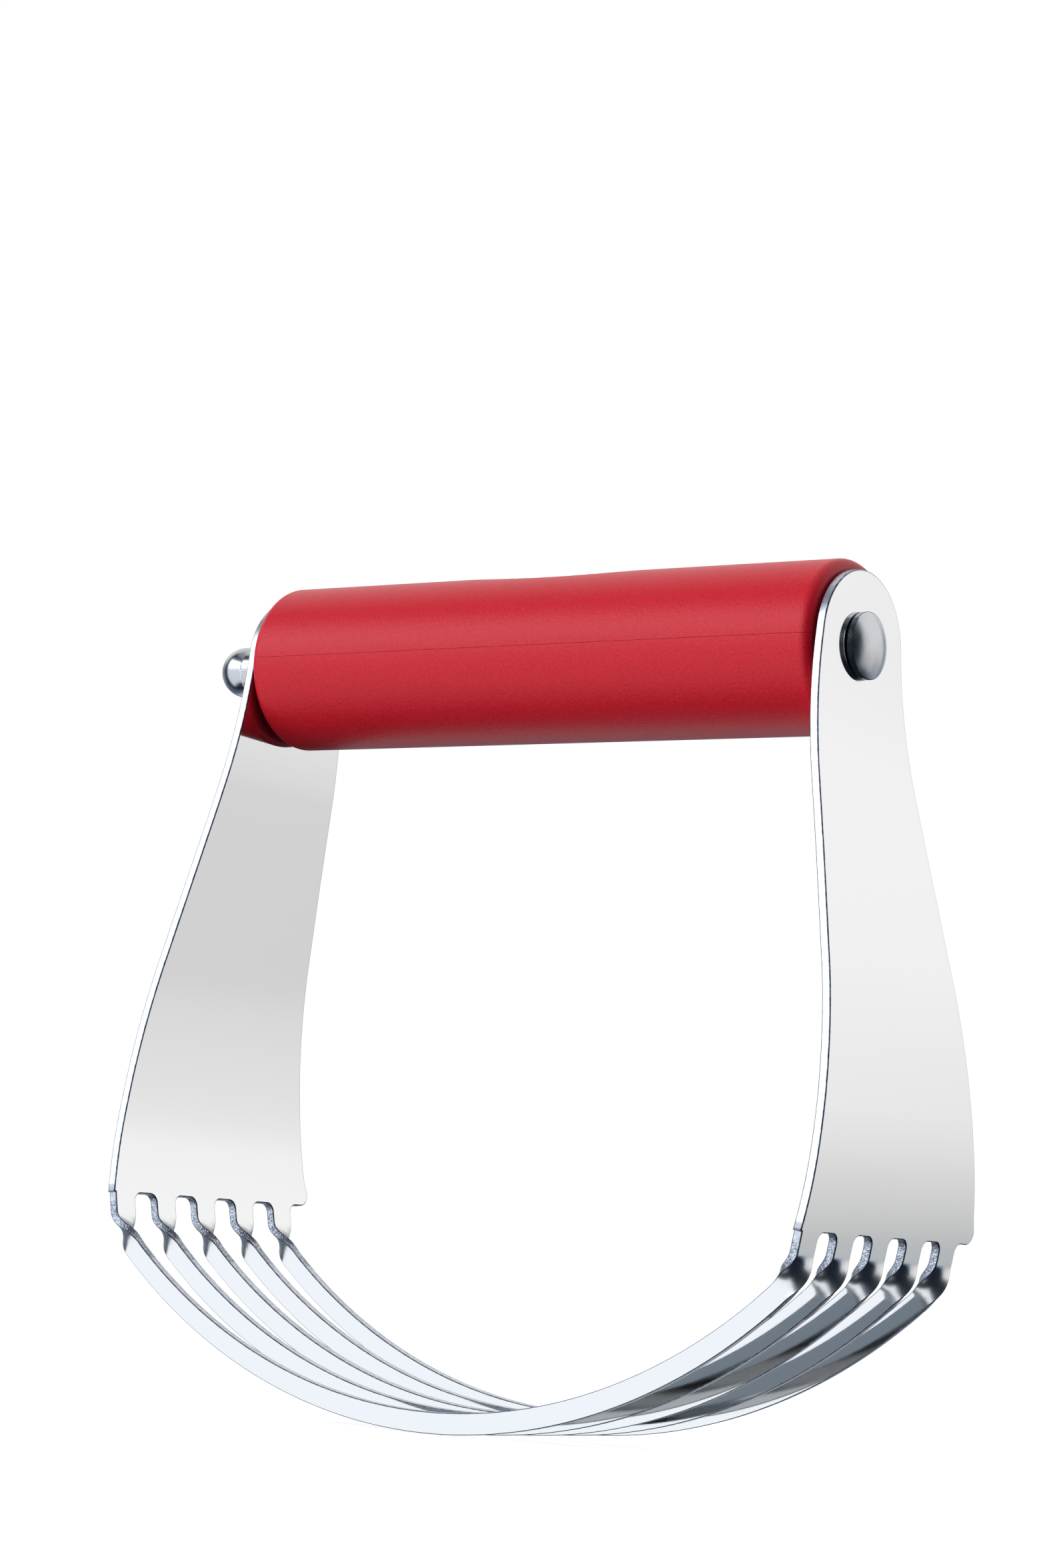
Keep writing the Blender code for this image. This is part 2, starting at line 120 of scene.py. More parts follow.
def sheet_path():
    """The sheet's middle line upwards: segments of (length, x, z, heading, radius, turn).

    The length is the one where a segment starts, and a straight segment has no radius."""
    segments = []
    length, x, z, heading = 0.0, 0.0, BLADE_WIDTH / 2, 0.0
    for radius, turn in (BLADE_ARC, SHOULDER_BEND, LOWER_BELLY, UPPER_BELLY):
        segments.append((length, x, z, heading, radius, turn))
        length += radius * math.radians(abs(turn))
        x, z, heading = arc_step(x, z, heading, radius, turn)
    neck_shift = NECK_BEND[0] * (1 - math.cos(math.radians(NECK_BEND[1])))
    lean = math.radians(heading - 90)
    flank = (x - neck_shift - (HEAD_FACE_X - SHEET / 2)) / math.sin(lean)
    segments.append((length, x, z, heading, None, 0.0))
    x, z, length = x - flank * math.sin(lean), z + flank * math.cos(lean), length + flank
    segments.append((length, x, z, heading, *NECK_BEND))
    length += NECK_BEND[0] * math.radians(abs(NECK_BEND[1]))
    x, z, heading = arc_step(x, z, heading, *NECK_BEND)
    segments.append((length, x, z, heading, None, 0.0))
    return segments


PATH = sheet_path()
BLADE_END, BEND_END, _, FLANK_START, NECK_START, BOLT_AT = (start for start, *_ in PATH[1:])
SLOT_TOP = BEND_END + SLOT_ABOVE_BEND
TWIST_LOW = BLADE_END + TWIST_ABOVE_BLADE


def on_path(length):
    """Point and heading (radians) of the sheet's middle line at a length from the bottom."""
    start, x, z, heading, radius, turn = max(s for s in PATH if s[0] <= length + 1e-9)
    if radius is None:
        angle = math.radians(heading)
        run = length - start
        return x + run * math.cos(angle), z + run * math.sin(angle), angle
    part = math.copysign(math.degrees((length - start) / radius), turn)
    x, z, heading = arc_step(x, z, heading, radius, part)
    return x, z, math.radians(heading)


def half_width(length):
    """Half the side plate's width at a length along the path: round head, flared flanks."""
    below = BOLT_AT - length
    flare = math.radians(FLANK_ANGLE)
    start = -HEAD_RADIUS * math.sin(flare)
    start_width = HEAD_RADIUS * math.cos(flare)
    run = below - start
    foot_run = BOLT_AT - SLOT_TOP - start
    gain = FOOT_WIDTH / 2 - start_width - math.tan(flare) * foot_run
    return start_width + math.tan(flare) * run + gain * (run / foot_run) ** 2


def blade_y(index):
    first = -FOOT_WIDTH / 2 + PRONG_INSET + PRONG_WIDTH / 2
    return first + index * BLADE_PITCH


def strip_at(y):
    """The strip nearest to a distance from the middle of the blank."""
    return min(max(round((y - blade_y(0)) / BLADE_PITCH), 0), BLADE_COUNT - 1)


def twist_share(length):
    """0 where a strip lies as in the plate, 1 where it stands on edge as a blade."""
    share = min(max((TWIST_LOW + TWIST_LENGTH - length) / TWIST_LENGTH, 0.0), 1.0)
    return share * share * (3 - 2 * share)


def arc_points(centre, radius, first, last, steps):
    """Points on an arc in a plane; angles in degrees."""
    angles = [math.radians(first + (last - first) * i / steps) for i in range(steps + 1)]
    return [(centre[0] + radius * math.cos(a), centre[1] + radius * math.sin(a)) for a in angles]


# ---- Flat patterns ------------------------------------------------------------------------
def loop_normals(points):
    """Outward normals of a closed loop with its material on the left, mitred at corners."""
    points = np.asarray(points)
    step = np.roll(points, -1, axis=0) - points
    step /= np.linalg.norm(step, axis=1)[:, None]
    after = np.column_stack((step[:, 1], -step[:, 0]))
    before = np.roll(after, 1, axis=0)
    return (before + after) / (1 + np.sum(before * after, axis=1))[:, None]


def rims_of(bm):
    """The borders of a flat mesh, as loops of vertex numbers with its faces on the left."""
    following = {}
    for face in bm.faces:
        for corner in face.loops:
            if len(corner.edge.link_faces) == 1:
                following[corner.vert.index] = corner.link_loop_next.vert.index
    rims = []
    while following:
        rim, at = [], next(iter(following))
        while at in following:
            rim.append(at)
            at = following.pop(at)
        rims.append(rim)
    return rims


def filled_pattern(loops, stations, inset):
    """Fills loops, set in by a distance, and cuts the fill at stations along its second axis."""
    bm = bmesh.new()
    for loop in loops:
        points = np.asarray(loop) - inset * loop_normals(loop)
        verts = [bm.verts.new((x, y, 0)) for x, y in points]
        for first, last in zip(verts, verts[1:] + verts[:1]):
            bm.edges.new((first, last))
    bmesh.ops.triangle_fill(bm, use_beauty=True, edges=bm.edges, normal=(0, 0, 1))
    bmesh.ops.dissolve_limit(bm, angle_limit=0.01, verts=bm.verts, edges=bm.edges)
    for station in stations:
        bmesh.ops.bisect_plane(
            bm, geom=bm.verts[:] + bm.edges[:] + bm.faces[:], dist=1e-7,
            plane_co=(0, station, 0), plane_no=(0, 1, 0),
        )
    bmesh.ops.remove_doubles(bm, verts=bm.verts, dist=WELD)
    bm.verts.index_update()
    for face in bm.faces:
        if face.normal.z < 0:
            face.normal_flip()
    points = np.array([vert.co[:2] for vert in bm.verts])
    faces = [[vert.index for vert in face.verts] for face in bm.faces]
    rims = rims_of(bm)
    bm.free()
    return points, faces, rims


def edge_profile(thickness, rounding, steps):
    """Down across a rounded edge: (reach, height, normal outward, normal up)."""
    upper = []
    for i in range(1, steps + 1):
        a = math.pi / 2 * i / steps
        height = thickness / 2 - rounding * (1 - math.cos(a))
        upper.append((rounding * math.sin(a), height, math.sin(a), math.cos(a)))
    return upper + [(reach, -height, out, -up) for reach, height, out, up in reversed(upper)]


def thick_pattern(loops, stations, thickness, rounding, steps=ROUND_STEPS):
    """A flat sheet with rounded edges: points, normals, faces, and what each face is part of."""
    flat, face_list, rims = filled_pattern(loops, stations, rounding)
    count = len(flat)
    points, normals, faces, parts = [], [], [], []
    for side in (1, -1):
        points += [(x, y, side * thickness / 2) for x, y in flat]
        normals += [(0, 0, side)] * count
    faces += face_list + [[i + count for i in reversed(face)] for face in face_list]
    parts += ["fill"] * len(faces)
    for rim in rims:
        mitres = loop_normals(flat[rim])
        units = mitres / np.linalg.norm(mitres, axis=1)[:, None]
        rows = [rim]
        for reach, height, outward, up in edge_profile(thickness, rounding, steps):
            rows.append(range(len(points), len(points) + len(rim)))
            for (x, y), (mx, my), (ux, uy) in zip(flat[rim], mitres, units):
                points.append((x + mx * reach, y + my * reach, height))
                normals.append((ux * outward, uy * outward, up))
        rows.append([i + count for i in rim])
        for row, (upper, lower) in enumerate(zip(rows, rows[1:])):
            for i in range(len(rim)):
                j = (i + 1) % len(rim)
                faces.append([upper[j], upper[i], lower[i], lower[j]])
                parts.append("edge" if row == steps else "rounding")
    return np.array(points), np.array(normals), faces, parts


def mapped(points, normals, mapping):
    """Points carried by a mapping of space, and normals by the inverse transpose of its slope."""
    moved = np.array([mapping(*p) for p in points])
    step = 1e-6
    slopes = []
    for axis in range(3):
        shift = np.zeros(3)
        shift[axis] = step
        ahead = np.array([mapping(*p) for p in points + shift])
        behind = np.array([mapping(*p) for p in points - shift])
        slopes.append((ahead - behind) / (2 * step))
    a, b, c = slopes
    cofactors = (np.cross(b, c), np.cross(c, a), np.cross(a, b))
    mirrored = np.sign(np.sum(a * cofactors[0], axis=1))
    carried = sum(n[:, None] * cofactor for n, cofactor in zip(normals.T, cofactors))
    carried *= (mirrored / np.linalg.norm(carried, axis=1))[:, None]
    return moved, carried


def facing(points, normals, faces):
    """The faces, each turned so that it looks the way its points' normals do."""
    points, normals = np.asarray(points), np.asarray(normals)
    turned_faces = []
    for face in faces:
        corners = points[list(face)]
        middle = corners.mean(axis=0)
        outline = np.cross(corners - middle, np.roll(corners, -1, axis=0) - middle).sum(axis=0)
        agrees = outline @ normals[list(face)].sum(axis=0) >= 0
        turned_faces.append(tuple(face) if agrees else tuple(reversed(face)))
    return turned_faces


def mesh_object(name, points, normals, faces, materials, finishes=None):
    """A smooth-shaded object with a normal for each point and a finish for each face."""
    mesh = bpy.data.meshes.new(name)
    mesh.from_pydata([tuple(p) for p in points], [], facing(points, normals, faces))
    for material in materials:
        mesh.materials.append(material)
    if finishes is not None:
        mesh.polygons.foreach_set("material_index", np.array(finishes, dtype=np.int32))
    mesh.shade_smooth()
    mesh.update()
    mesh.normals_split_custom_set_from_vertices([tuple(n) for n in normals])
    obj = bpy.data.objects.new(name, mesh)
    bpy.context.scene.collection.objects.link(obj)
    return obj


# ---- Blade frame --------------------------------------------------------------------------
def outer_loop():
    """The blank's outline: two side plates joined by the strips' outer edges."""
    flare = FLANK_ANGLE
    low, high = SLOT_TOP + FOOT_CORNER, BOLT_AT + HEAD_RADIUS * math.sin(math.radians(flare))
    levels = [low + (high - low) * i / FLANK_STEPS for i in range(FLANK_STEPS)]
    back_prong = blade_y(BLADE_COUNT - 1) + PRONG_WIDTH / 2
    front_prong = blade_y(0) - PRONG_WIDTH / 2
    slot_centre = (back_prong + SLOT_CORNER, SLOT_TOP - SLOT_CORNER)
    foot_centre = (FOOT_WIDTH / 2 - FOOT_CORNER, SLOT_TOP + FOOT_CORNER)
    slot = arc_points(slot_centre, SLOT_CORNER, 180, 90, SLOT_STEPS)
    foot = arc_points(foot_centre, FOOT_CORNER, -90, 0, FOOT_STEPS)
    back = [(half_width(level), level) for level in levels[1:]]
    head = arc_points((0, BOLT_AT), HEAD_RADIUS, flare, 180 - flare, HEAD_STEPS)
    front = [(-half_width(level), level) for level in reversed(levels)]
    front += [(-FOOT_WIDTH / 2, SLOT_TOP), (front_prong, SLOT_TOP)]
    right = slot + foot + back + head + front
    left = [(y, -length) for y, length in reversed(right)]
    return right + left


def slot_loops():
    """The gaps between neighbouring strips, round-cornered, clockwise."""
    loops = []
    for index in range(BLADE_COUNT - 1):
        front = blade_y(index) + PRONG_WIDTH / 2 + SLOT_CORNER
        back = blade_y(index + 1) - PRONG_WIDTH / 2 - SLOT_CORNER
        top = SLOT_TOP - SLOT_CORNER
        loop = arc_points((front, top), SLOT_CORNER, 180, 90, SLOT_STEPS)
        loop += arc_points((back, top), SLOT_CORNER, 90, 0, SLOT_STEPS)
        loop += [(y, -length) for y, length in reversed(loop)]
        loops.append(loop)
    return loops


def hole_loops():
    """The bolt holes of the two plates, clockwise."""
    centres = ((0, -BOLT_AT), (0, BOLT_AT))
    last = 360 / HOLE_STEPS
    return [arc_points(centre, BOLT_HOLE, 360, last, HOLE_STEPS - 1) for centre in centres]


def sheet_stations():
    """Lengths where the fill is cut so that it can bend, close together where it turns fast."""
    zones = (
        (0, BLADE_END, BLADE_SPACING), (BLADE_END, SLOT_TOP, TWIST_SPACING),
        (SLOT_TOP, FLANK_START, BEND_SPACING), (FLANK_START, NECK_START, FLAT_SPACING),
        (NECK_START, BOLT_AT, BEND_SPACING),
    )
    stations = [BOLT_AT]
    for start, end, spacing in zones:
        count = math.ceil((end - start) / spacing)
        stations += [start + (end - start) * i / count for i in range(count)]
    return sorted({round(side * station, 9) for station in stations for side in (-1, 1)})


def bent_and_twisted(y, signed, offset):
    """Where a point of the flat blank goes: (across, length, offset outward) to a place."""
    side = 1 if signed >= 0 else -1
    length = abs(signed)
    x, z, heading = on_path(length)
    outward = np.array((side * math.sin(heading), 0.0, -math.cos(heading)))
    centre = np.array((side * x, 0.0, z))
    if length >= TWIST_LOW + TWIST_LENGTH:
        place = centre + offset * outward + np.array((0.0, y, 0.0))
    else:
        index = strip_at(y)
        strip, share = blade_y(index), twist_share(length)
        angle = math.radians(TWISTS[index]) * share
        width = 1 + ((BLADE_WIDTH - TILT_TRIM) / PRONG_WIDTH - 1) * share
        across = np.array((0.0, 1.0, 0.0))
        face = math.cos(angle) * outward - math.sin(angle) * across
        edge = math.sin(angle) * outward + math.cos(angle) * across
        place = centre + np.array((0.0, strip, 0.0)) + offset * face + (y - strip) * width * edge
    return place + np.array((MIDDLE_X, 0.0, 0.0))


def face_kind(part, place):
    """A face's finish: 0 polished, 1 polished edge, 2 edge left as sheared, 3 rounding, painted dark
    as shade.
    """
    if part != "edge":
        return 0 if part == "fill" else 3
    y, signed, _ = place
    length = abs(signed)
    at_foot = length > SLOT_TOP - SLOT_CORNER and abs(y) > FOOT_WIDTH / 2 - FOOT_CORNER
    if length > SLOT_TOP + SLOT_CORNER or at_foot:
        return 1
    return 1 if length < TWIST_LOW - RAW_REACH else 2


def twisting(length):
    """How strongly the metal is worked at a length: 1 in the middle of the twist."""
    share = (length - TWIST_LOW) / TWIST_LENGTH
    return max(0.0, 1 - (2 * share - 1) ** 2) if 0 < share < 1 else 0.0


def blade_frame(materials):
    """The whole frame as one sheet, with the materials that face_kind counts through."""
    loops = [outer_loop(), *slot_loops(), *hole_loops()]
    flat, normals, faces, parts = thick_pattern(loops, sheet_stations(), SHEET, EDGE_ROUND)
    points, normals = mapped(flat, normals, bent_and_twisted)
    finishes = [face_kind(part, flat[face].mean(axis=0)) for face, part in zip(faces, parts)]
    obj = mesh_object("blade_frame", points, normals, faces, materials, finishes)
    twisted = obj.data.attributes.new("twisted", "FLOAT", "POINT")
    twisted.data.foreach_set("value", [twisting(abs(signed)) for _, signed, _ in flat])
    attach(obj, "frame")
    nodes = ["left_side_plate", "right_side_plate"]
    nodes += [f"blade_{index + 1}" for index in range(BLADE_COUNT)]
    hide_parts(*nodes)


# ---- Handle -------------------------------------------------------------------------------
HANDLE_EDGE = 1.8 * MM  # rounding of the end edges
HANDLE_BORE = 4.8 * MM
END_RINGS = (8.0 * MM, 11.0 * MM)  # radii of the rows across an end face
PANEL = (40.0 * MM, 11.0 * MM, 0.4 * MM)  # blank oval panel: length, width, depth
PANEL_WALL = 0.35 * MM  # width of the slope round the panel
PANEL_MARGIN = 1.0 * MM  # how far past the panel the fine rows go
PANEL_MARGIN_ANGLE = 3  # and the fine columns, in degrees
FINE_ROWS, COARSE_ROWS = 0.25 * MM, 4.0 * MM  # spacing along the handle
FINE_ANGLE, COARSE_ANGLE = 1, 4  # spacing round the handle, in degrees
SEAM = 0.02 * MM  # gap between the two shells' lips
SEAM_ROUND = 0.04 * MM
SEAM_STEPS = 3  # in the rounding of a seam's edge
EDGE_ANGLE = 10  # between the rows of an end's rounding, in degrees
LIP = 2.4 * MM  # depth of the lips that face each other


def spread(*stops):
    """Values from stops of (start, spacing), ending at the last stop's start."""
    values = []
    for (start, spacing), (end, _) in zip(stops, stops[1:]):
        count = max(1, round((end - start) / spacing))
        values += [start + (end - start) * i / count for i in range(count)]
    return values + [stops[-1][0]]


def handle_rows(fine):
    """Along the handle: (x, radius, normal along x, normal along the radius)."""
    half = HANDLE_LENGTH / 2
    straight = half - HANDLE_EDGE
    reach = PANEL[0] / 2 + PANEL_MARGIN
    stops = (-straight, COARSE_ROWS), (-reach, fine), (reach, COARSE_ROWS), (straight, 0)
    middle = spread(*stops)[1:-1]
    end = [(half, radius, 1, 0) for radius in (HANDLE_BORE, *END_RINGS)]
    for degrees in range(90, -1, -EDGE_ANGLE):
        a = math.radians(degrees)
        end.append((straight + HANDLE_EDGE * math.sin(a),
                    HANDLE_RADIUS - HANDLE_EDGE * (1 - math.cos(a)), math.sin(a), math.cos(a)))
    start = [(-x, radius, -nx, nr) for x, radius, nx, nr in end]
    return start + [(x, HANDLE_RADIUS, 0, 1) for x in middle] + end[::-1]


def panel_depth(x, along):
    """Depth of the oval recess at a place on the handle's skin."""
    a, b = PANEL[0] / 2, PANEL[1] / 2
    ratio = math.hypot(x / a, along / b)
    slope = math.hypot(x / a ** 2, along / b ** 2) / max(ratio, 1e-6)
    outside = (ratio - 1) / max(slope, 1e-6)
    share = min(max(0.5 - outside / PANEL_WALL, 0.0), 1.0)
    return PANEL[2] * share * share * (3 - 2 * share)


def skin_point(x, radius, angle):
    """Radius less the panel's depth at a place on the skin, and how that tilts the normal."""
    along, step = (angle - math.pi / 2) * radius, 0.01 * MM
    tilt_x = (panel_depth(x + step, along) - panel_depth(x - step, along)) / (2 * step)
    tilt_along = (panel_depth(x, along + step) - panel_depth(x, along - step)) / (2 * step)
    return radius - panel_depth(x, along), tilt_x, tilt_along


def shell_section(row, angles, has_panel):
    """Half a turn of skin at a row, seam to seam: (x, y, z, normal along x, y and z)."""
    x, radius, nx, nr = row
    seam_z = SEAM / 2 + SEAM_ROUND
    seam_y = math.sqrt((radius - SEAM_ROUND) ** 2 - seam_z ** 2)
    first = math.atan2(seam_z, seam_y)
    flatness = max(nr, 0.2)  # an end face keeps its own normal right up to the seam's edge

    def seam_edge(t, sign):
        y, z = seam_y + SEAM_ROUND * math.cos(t), seam_z + SEAM_ROUND * math.sin(t)
        return x, sign * y, z, nx, sign * math.cos(t) * flatness, math.sin(t) * flatness

    def skin(degrees):
        t = first + (math.pi - 2 * first) * degrees / 180
        reached, tilt_x, tilt_along = radius, 0.0, 0.0
        if has_panel and nr == 1:
            reached, tilt_x, tilt_along = skin_point(x, radius, t)
        ny = math.cos(t) - tilt_along * math.sin(t)
        nz = math.sin(t) + tilt_along * math.cos(t)
        return x, reached * math.cos(t), reached * math.sin(t), nx + tilt_x, ny * nr, nz * nr

    quarter = math.pi / 2
    turns = [-quarter + (first + quarter) * i / SEAM_STEPS for i in range(SEAM_STEPS)]
    section = [seam_edge(t, 1) for t in turns]
    section += [skin(degrees) for degrees in angles]
    return section + [seam_edge(t, -1) for t in reversed(turns)]


def handle_shell(name, node, side, material):
    """Half the handle's skin with rounded seam edges; the upper half, side 1, has the panel."""
    reach = math.degrees(PANEL[1] / 2 / HANDLE_RADIUS) + PANEL_MARGIN_ANGLE
    fine = FINE_ANGLE if side > 0 else COARSE_ANGLE
    angles = spread((0, COARSE_ANGLE), (90 - reach, fine), (90 + reach, COARSE_ANGLE), (180, 0))
    rows = handle_rows(FINE_ROWS if side > 0 else COARSE_ROWS)
    points, normals, faces = [], [], []
    for row in rows:
        for x, y, z, nx, ny, nz in shell_section(row, angles, side > 0):
            points.append((MIDDLE_X + x, y, AXIS_Z + side * z))
            normals.append(Vector((nx, ny, side * nz)).normalized())
    width = len(points) // len(rows)
    for row in range(len(rows) - 1):
        for a in range(row * width, (row + 1) * width - 1):
            faces.append((a, a + width, a + width + 1, a + 1))
    flat_rows = 1 + len(END_RINGS)  # rows on an end face, where the lips stop
    for column in (0, width - 1):
        lip = []
        for row in range(flat_rows, len(rows) - flat_rows):
            x, y, z = points[row * width + column]
            lip.append(len(points))
            points += [(x, y, z), (x, y - math.copysign(LIP, y), z)]
            normals += [Vector((0, 0, -side))] * 2
        faces += [(a, b, b + 1, a + 1) for a, b in zip(lip, lip[1:])]
    obj = mesh_object(name, points, normals, faces, [material])
    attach(obj, "handle")
    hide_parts(node)


# ---- Fasteners ----------------------------------------------------------------------------
PLATE_GAP = 0.2 * MM  # between a plate and the bolt's head
HEAD_RIM = 1.15 * MM  # from the plate to the bolt head's rim
HEAD_DOME = 1.4 * MM
HEAD_FILLET = 0.3 * MM
HEAD_EDGE = 0.15 * MM  # rounding under the bolt's head
SHANK_RADIUS = 3.0 * MM
SHANK_TIP = 0.6 * MM  # chamfer on the bolt's end
BORE_RADIUS = 3.3 * MM  # of the washer, and of the nut's mouth
WASHER_EDGES = (0.1 * MM, 0.25 * MM, 0.15 * MM)  # bore, outer face, inner face
THREAD_RADIUS = 2.5 * MM  # inside the nut's mouth
THREAD_DEPTH = 1.0 * MM
NUT_FLATS = size_of("acorn_nut").z
NUT_HEX = 3.6 * MM  # height of the hexagon
NUT_DOME = 4.4 * MM  # radius of the ball-shaped dome
NUT_NECK = 4.0 * MM  # radius between the hexagon and the dome
NUT_CHAMFER = 0.8 * MM
NUT_EDGE = 0.1 * MM  # rounding at the mouth and the shoulder
NECK_FILLET = 0.2 * MM
HEX_ROUND = 0.35 * MM
TURNED_STEPS, HEX_STEPS = 96, 240  # round a turned piece, and round the nut
FILLET_STEPS, DOME_STEPS, BALL_STEPS = 5, 24, 32


# A profile is a list of (radius, x, normal along the radius, normal along x). Its outside is on
# the left of the way it runs.
def line_profile(corners, fillets):
    """Straight runs through (radius, x) corners, with a fillet radius for each inner corner."""
    corners = [Vector(corner) for corner in corners]
    profile, start = [], corners[0]
    for before, corner, after, fillet in zip(corners, corners[1:], corners[2:], fillets):
        into, away = (corner - before).normalized(), (after - corner).normalized()
        first, last = Vector((-into.y, into.x)), Vector((-away.y, away.x))
        back = fillet * math.tan(first.angle(last) / 2)
        bulge = fillet if into.cross(away) < 0 else -fillet
        end, centre = corner - into * back, corner - into * back - first * bulge
        profile += [(*start, *first), (*end, *first)]
        for i in range(1, FILLET_STEPS if fillet else 1):
            normal = first.lerp(last, i / FILLET_STEPS).normalized()
            profile.append((*(centre + normal * bulge), *normal))
        start = corner + away * back
    return profile + [(*start, *last), (*corners[-1], *last)]


def round_profile(centre, radius, first, last, steps):
    """An arc round (radius, x), from an angle to another; angle 0 looks along x."""
    profile = []
    for i in range(steps + 1):
        a = first + (last - first) * i / steps
        out, along = math.sin(a), math.cos(a)
        profile.append((centre[0] + radius * out, centre[1] + radius * along, out, along))
    return profile


def dome_profile(radius, rim, height, fillet):
    """A spherical dome from the axis to its filleted rim, towards +x from a height rim."""
    sphere = (radius ** 2 + height ** 2) / (2 * height)
    centre = rim + height - sphere
    fillet_r = radius - fillet
    fillet_x = centre + math.sqrt((sphere - fillet) ** 2 - fillet_r ** 2)
    reach = math.atan2(fillet_r, fillet_x - centre)
    dome = round_profile((0, centre), sphere, 0, reach, DOME_STEPS)
    edge = round_profile((fillet_r, fillet_x), fillet, reach, math.pi / 2, FILLET_STEPS)
    return dome + edge[1:]


def turned(name, node, profile, material, steps=TURNED_STEPS, clip=None):
    """A profile turned about the bolt's axis, cut back where clip gives a smaller radius."""
    points, normals, faces = [], [], []
    for radius, x, nr, nx in profile:
        for i in range(steps):
            angle = 2 * math.pi * i / steps
            reach, side_angle = clip(angle) if clip else (radius, angle)
            if radius > reach:
                normals.append((0, math.cos(side_angle), math.sin(side_angle)))
            else:
                reach = radius
                normals.append((nx, nr * math.cos(angle), nr * math.sin(angle)))
            y, z = reach * math.cos(angle), reach * math.sin(angle)
            points.append((MIDDLE_X + x, y, AXIS_Z + z))
    for row in range(len(profile) - 1):
        for i in range(steps):
            a, b, j = row * steps, (row + 1) * steps, (i + 1) % steps
            faces.append((a + i, a + j, b + j, b + i))
    obj = mesh_object(name, points, normals, faces, [material])
    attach(obj, "frame")
    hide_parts(node)


def hexagon(angle):
    """Distance of a round-cornered hexagon's side at an angle, and the angle of its normal."""
    sector = math.pi / 3
    face = math.pi / 2 + sector * round((angle - math.pi / 2) / sector)
    local = angle - face
    flat, side = NUT_FLATS / 2, math.copysign(1, local)
    if flat * math.tan(abs(local)) <= (flat - HEX_ROUND) * math.tan(sector / 2):
        return flat / math.cos(local), face
    corner = (flat - HEX_ROUND) / math.cos(sector / 2)
    along = corner * math.cos(sector / 2 - abs(local))
    reach = along + math.sqrt(along ** 2 - corner ** 2 + HEX_ROUND ** 2)
    y = reach * math.sin(abs(local)) - corner * math.sin(sector / 2)
    x = reach * math.cos(abs(local)) - corner * math.cos(sector / 2)
    return reach, face + side * math.atan2(y, x)


def ends_of(node):
    """A node's lowest and highest x, from the middle of the handle."""
    low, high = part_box(node)
    return low.x - MIDDLE_X, high.x - MIDDLE_X


def bolt(material):
    radius, tip = size_of("through_bolt").z / 2, ends_of("through_bolt")[0]
    rim, under = HEAD_FACE_X + HEAD_RIM, HEAD_FACE_X + PLATE_GAP
    corners = [(radius, rim), (radius, under), (SHANK_RADIUS, under),
               (SHANK_RADIUS, tip + SHANK_TIP), (SHANK_RADIUS - SHANK_TIP, tip), (0, tip)]
    profile = dome_profile(radius, rim, HEAD_DOME, HEAD_FILLET)
    profile += line_profile(corners, (HEAD_EDGE, 0, 0, 0))
    turned("through_bolt_head_and_shank", "through_bolt", profile, material)


def washer(material):
    low, high = ends_of("flat_washer")
    radius = size_of("flat_washer").z / 2
    ring = [(BORE_RADIUS, low), (BORE_RADIUS, high), (radius, high), (radius, low),
            (BORE_RADIUS, low)]
    turned("washer", "flat_washer", line_profile(ring, WASHER_EDGES), material)


def acorn_nut(material):
    """A hexagon with chamfered corners, a short neck and a ball that narrows again to it."""
    tip, mouth = ends_of("acorn_nut")
    corner, chamfer = NUT_FLATS / math.sqrt(3), NUT_CHAMFER
    shoulder, centre = mouth - NUT_HEX, tip + NUT_DOME
    past = math.acos(NUT_NECK / NUT_DOME)
    corners = [(THREAD_RADIUS, mouth - THREAD_DEPTH), (BORE_RADIUS, mouth),
               (corner - chamfer / 2, mouth), (corner, mouth - chamfer / 2),
               (corner, shoulder + chamfer / 2), (corner - chamfer, shoulder),
               (NUT_NECK, shoulder), (NUT_NECK, centre + NUT_DOME * math.sin(past))]
    profile = line_profile(corners, (0, NUT_EDGE, 0, 0, NUT_EDGE, NECK_FILLET))
    profile += round_profile((0, centre), NUT_DOME, math.pi / 2 - past, math.pi, BALL_STEPS)
    turned("acorn_nut_hexagon_and_dome", "acorn_nut", profile, material, HEX_STEPS, hexagon)


